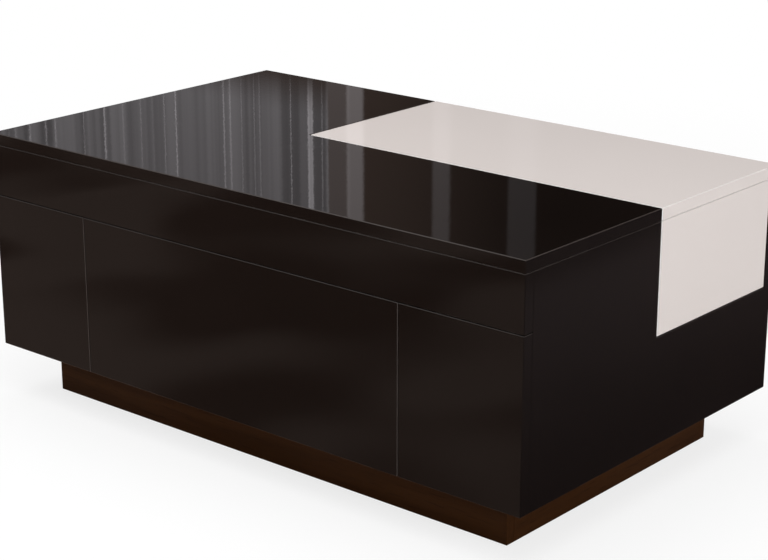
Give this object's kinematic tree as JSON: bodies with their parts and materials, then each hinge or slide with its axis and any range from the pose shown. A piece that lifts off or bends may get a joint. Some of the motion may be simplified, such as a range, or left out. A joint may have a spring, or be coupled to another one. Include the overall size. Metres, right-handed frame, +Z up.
{
  "type": "sliding top coffee table",
  "caption": "Rectangular lacquered coffee table on a recessed plinth; part of the top slides out of one end over a compartment, and a wide drawer opens at the front.",
  "frame": {"origin": "on the floor, under the centre of the table's outline", "axes": "+X is the way the sliding top comes out, -Y is the front with the drawer, +Z is up"},
  "size_m": [1, 0.6, 0.418],
  "materials": {
    "black_lacquer": "high-gloss black lacquer on fibreboard",
    "white_lacquer": "high-gloss warm white lacquer on fibreboard",
    "dark_plinth_lacquer": "satin dark brown lacquer",
    "dark_melamine": "matt dark melamine",
    "drawer_melamine": "matt grey melamine",
    "raw_softwood": "raw softwood",
    "zinc_plated_steel": "bright zinc plate",
    "black_plastic": "moulded black plastic",
    "pad_rubber": "dull black rubber"
  },
  "bodies": {
    "carcass": {"apron_cleats": "raw_softwood", "back_panel": "black_lacquer", "bottom_panel": "dark_melamine", "cam_bolts": "zinc_plated_steel", "cam_locks": "zinc_plated_steel", "compartment_end_wall": "dark_melamine", "compartment_floor": "dark_melamine", "compartment_side_wall": "dark_melamine", "drawer_slide_buffers": "black_plastic", "drawer_slide_left_outer": "zinc_plated_steel", "drawer_slide_right_outer": "zinc_plated_steel", "end_panel_left": "black_lacquer", "end_panel_right": "black_lacquer", "fixed_top": "black_lacquer", "floor_pads": "pad_rubber", "front_apron": "black_lacquer", "front_panel_left": "black_lacquer", "front_panel_right": "black_lacquer", "partition_left": "dark_melamine", "partition_right": "dark_melamine", "plinth_glue_blocks": "raw_softwood", "plinth_rail_back": "dark_plinth_lacquer", "plinth_rail_front": "dark_plinth_lacquer", "plinth_rail_left": "dark_plinth_lacquer", "plinth_rail_right": "dark_plinth_lacquer", "plinth_stretcher": "raw_softwood", "side_panel_cleats": "raw_softwood", "spine_board": "dark_melamine", "top_slide_back_outer": "zinc_plated_steel", "top_slide_buffers": "black_plastic", "top_slide_front_outer": "zinc_plated_steel"},
    "sliding_top": {"sliding_top": "white_lacquer", "drop_panel": "white_lacquer", "runner_batten_front": "raw_softwood", "runner_batten_back": "raw_softwood", "drop_panel_brackets": "zinc_plated_steel", "top_slide_front_inner": "zinc_plated_steel", "top_slide_back_inner": "zinc_plated_steel"},
    "top_slide_middles": {"top_slide_front_middle": "zinc_plated_steel", "top_slide_back_middle": "zinc_plated_steel"},
    "top_slide_outer_cages": {"top_slide_outer_cages": "zinc_plated_steel"},
    "top_slide_inner_cages": {"top_slide_inner_cages": "zinc_plated_steel"},
    "drawer": {"drawer_front": "black_lacquer", "drawer_side_left": "drawer_melamine", "drawer_side_right": "drawer_melamine", "drawer_box_front": "drawer_melamine", "drawer_box_back": "drawer_melamine", "drawer_bottom": "drawer_melamine", "drawer_slide_left_inner": "zinc_plated_steel", "drawer_slide_right_inner": "zinc_plated_steel"},
    "drawer_slide_middles": {"drawer_slide_left_middle": "zinc_plated_steel", "drawer_slide_right_middle": "zinc_plated_steel"},
    "drawer_slide_outer_cages": {"drawer_slide_outer_cages": "zinc_plated_steel"},
    "drawer_slide_inner_cages": {"drawer_slide_inner_cages": "zinc_plated_steel"}
  },
  "joints": [
    {"name": "sliding_top_travel", "type": "slide", "parent": "carcass", "child": "sliding_top", "axis": [1, 0, 0], "range_m": [0, 0.4]},
    {"name": "top_slide_middles_travel", "type": "slide", "parent": "carcass", "child": "top_slide_middles", "axis": [1, 0, 0], "range_m": [0, 0.2]},
    {"name": "top_slide_outer_cages_travel", "type": "slide", "parent": "carcass", "child": "top_slide_outer_cages", "axis": [1, 0, 0], "range_m": [0, 0.1]},
    {"name": "top_slide_inner_cages_travel", "type": "slide", "parent": "carcass", "child": "top_slide_inner_cages", "axis": [1, 0, 0], "range_m": [0, 0.3]},
    {"name": "drawer_travel", "type": "slide", "parent": "carcass", "child": "drawer", "axis": [0, -1, 0], "range_m": [0, 0.4]},
    {"name": "drawer_slide_middles_travel", "type": "slide", "parent": "carcass", "child": "drawer_slide_middles", "axis": [0, -1, 0], "range_m": [0, 0.2]},
    {"name": "drawer_slide_outer_cages_travel", "type": "slide", "parent": "carcass", "child": "drawer_slide_outer_cages", "axis": [0, -1, 0], "range_m": [0, 0.1]},
    {"name": "drawer_slide_inner_cages_travel", "type": "slide", "parent": "carcass", "child": "drawer_slide_inner_cages", "axis": [0, -1, 0], "range_m": [0, 0.3]}
  ],
  "couplings": [
    {"joint": "top_slide_middles_travel", "follows": "sliding_top_travel", "ratio": 0.5},
    {"joint": "top_slide_outer_cages_travel", "follows": "sliding_top_travel", "ratio": 0.25},
    {"joint": "top_slide_inner_cages_travel", "follows": "sliding_top_travel", "ratio": 0.75},
    {"joint": "drawer_slide_middles_travel", "follows": "drawer_travel", "ratio": 0.5},
    {"joint": "drawer_slide_outer_cages_travel", "follows": "drawer_travel", "ratio": 0.25},
    {"joint": "drawer_slide_inner_cages_travel", "follows": "drawer_travel", "ratio": 0.75}
  ]
}
